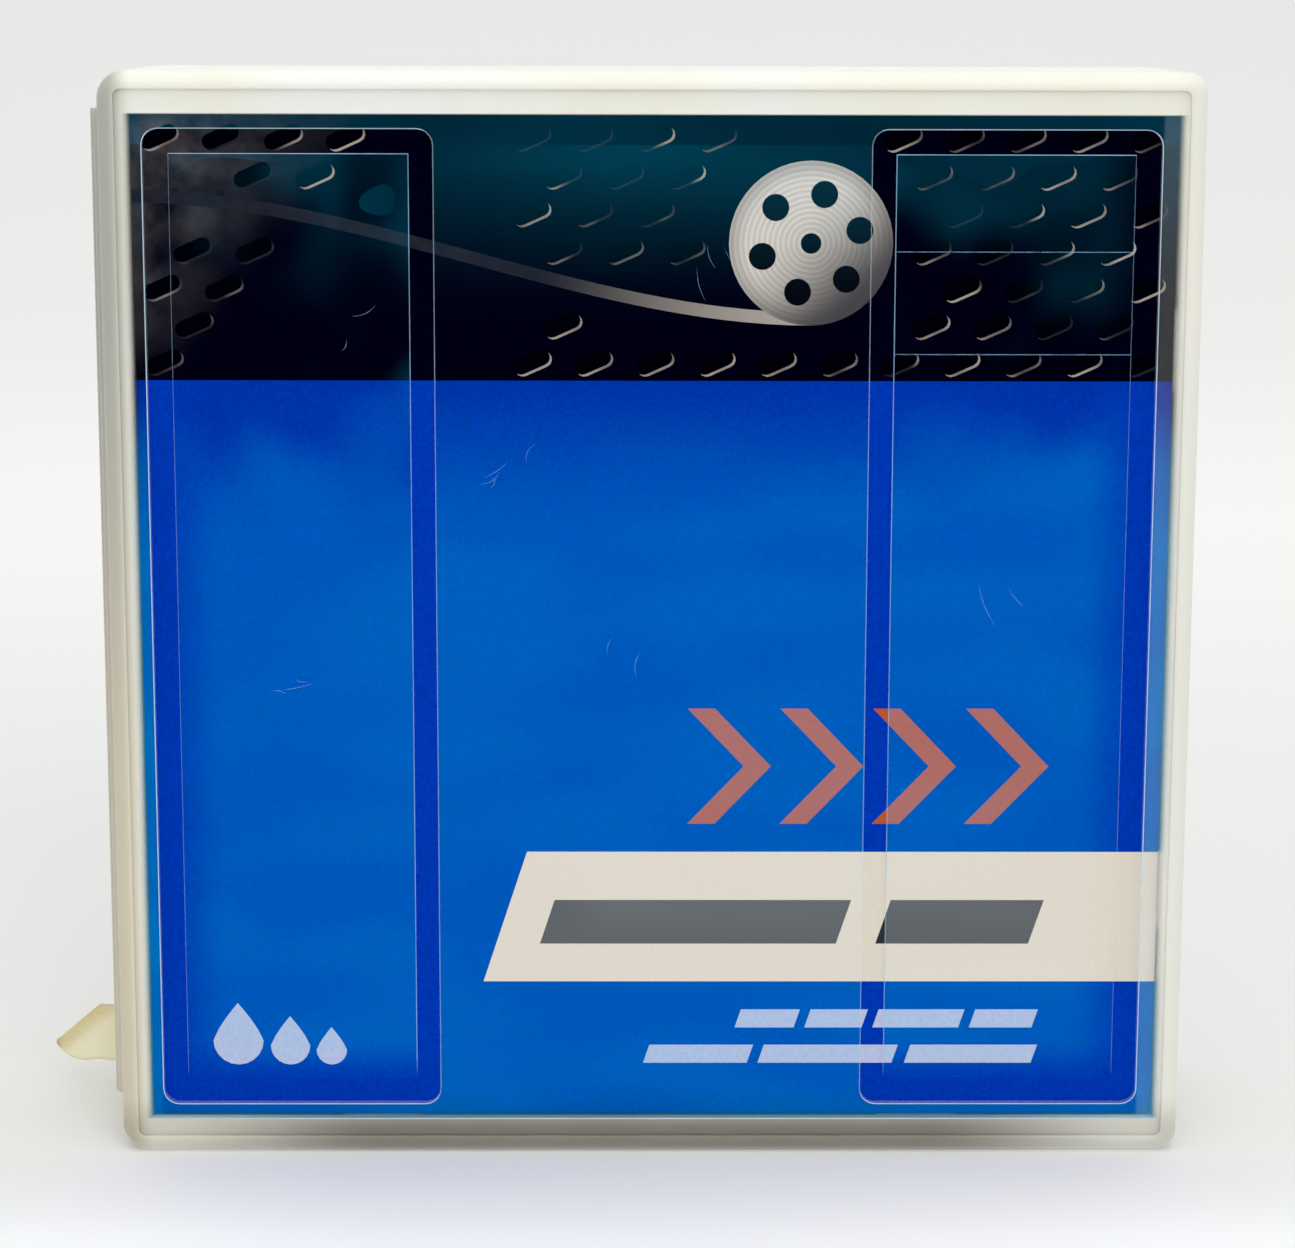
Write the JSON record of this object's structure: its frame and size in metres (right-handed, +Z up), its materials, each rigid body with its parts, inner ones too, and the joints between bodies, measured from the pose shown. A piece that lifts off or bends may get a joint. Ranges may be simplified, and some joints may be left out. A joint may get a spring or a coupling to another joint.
{
  "type": "cased tape cleaning cartridge",
  "caption": "Milky hinged plastic case standing upright, with a printed card behind its clear front panel, holding a reel tape cartridge that cleans the heads of a tape drive.",
  "frame": {"origin": "middle of the case's lower face, on the surface that it stands on", "axes": "+X from the hinge side to the latch side, +Y from the front panel to the back, +Z up"},
  "size_m": [0.129, 0.031, 0.1194],
  "materials": {
    "natural_pp": "milky moulded polypropylene, clear and glossy on the panels",
    "printed_card": "printed card, coated",
    "old_tape": "yellowed adhesive tape, torn",
    "cartridge_plastic": "fine moulded grain",
    "screw_steel": "bright",
    "reel_plastic": "moulded, satin",
    "cleaning_tape": "wound edge, satin",
    "leader_film": "film",
    "lever_plastic": "moulded, satin",
    "spring_steel": "bright",
    "switch_plastic": "moulded, satin"
  },
  "bodies": {
    "tray": {"case_tray": "natural_pp", "tape_remnant": "old_tape", "cartridge_lower_shell": "cartridge_plastic", "cartridge_upper_shell": "cartridge_plastic", "shell_screws": "screw_steel", "tape_leader": "leader_film", "reel_spring": "spring_steel", "lock_spring_left": "spring_steel", "lock_spring_right": "spring_steel", "tape_door": "cartridge_plastic", "door_pin": "spring_steel", "door_spring": "spring_steel", "door_lock": "lever_plastic"},
    "cover": {"case_cover": "natural_pp", "insert_card": "printed_card"},
    "reel": {"reel_hub": "reel_plastic", "reel_upper_flange": "reel_plastic", "tape_pack": "cleaning_tape", "thrust_button": "lever_plastic"},
    "lock_left": {"reel_lock_left": "lever_plastic"},
    "lock_right": {"reel_lock_right": "lever_plastic"},
    "switch": {"write_protect_switch": "switch_plastic"}
  },
  "joints": [
    {"name": "cover_hinge", "type": "hinge", "parent": "tray", "child": "cover", "pos_m": [-0.0607, -0.006, 0.0597], "axis": [0, 0, -1], "range_deg": [0, 180]},
    {"name": "reel_spin", "type": "hinge", "parent": "tray", "child": "reel", "pos_m": [0, 0.005, 0.0597], "axis": [0, 1, 0], "continuous": true},
    {"name": "reel_lock_left", "type": "hinge", "parent": "tray", "child": "lock_left", "pos_m": [-0.04101, 0.0101, 0.01869], "axis": [0, 1, 0], "range_deg": [0, 11.28]},
    {"name": "reel_lock_right", "type": "hinge", "parent": "tray", "child": "lock_right", "pos_m": [0.04101, 0.0101, 0.01869], "axis": [0, -1, 0], "range_deg": [0, 11.28]},
    {"name": "write_protect_slide", "type": "slide", "parent": "tray", "child": "switch", "axis": [0, 0, 1], "range_m": [0, 0.004]}
  ]
}
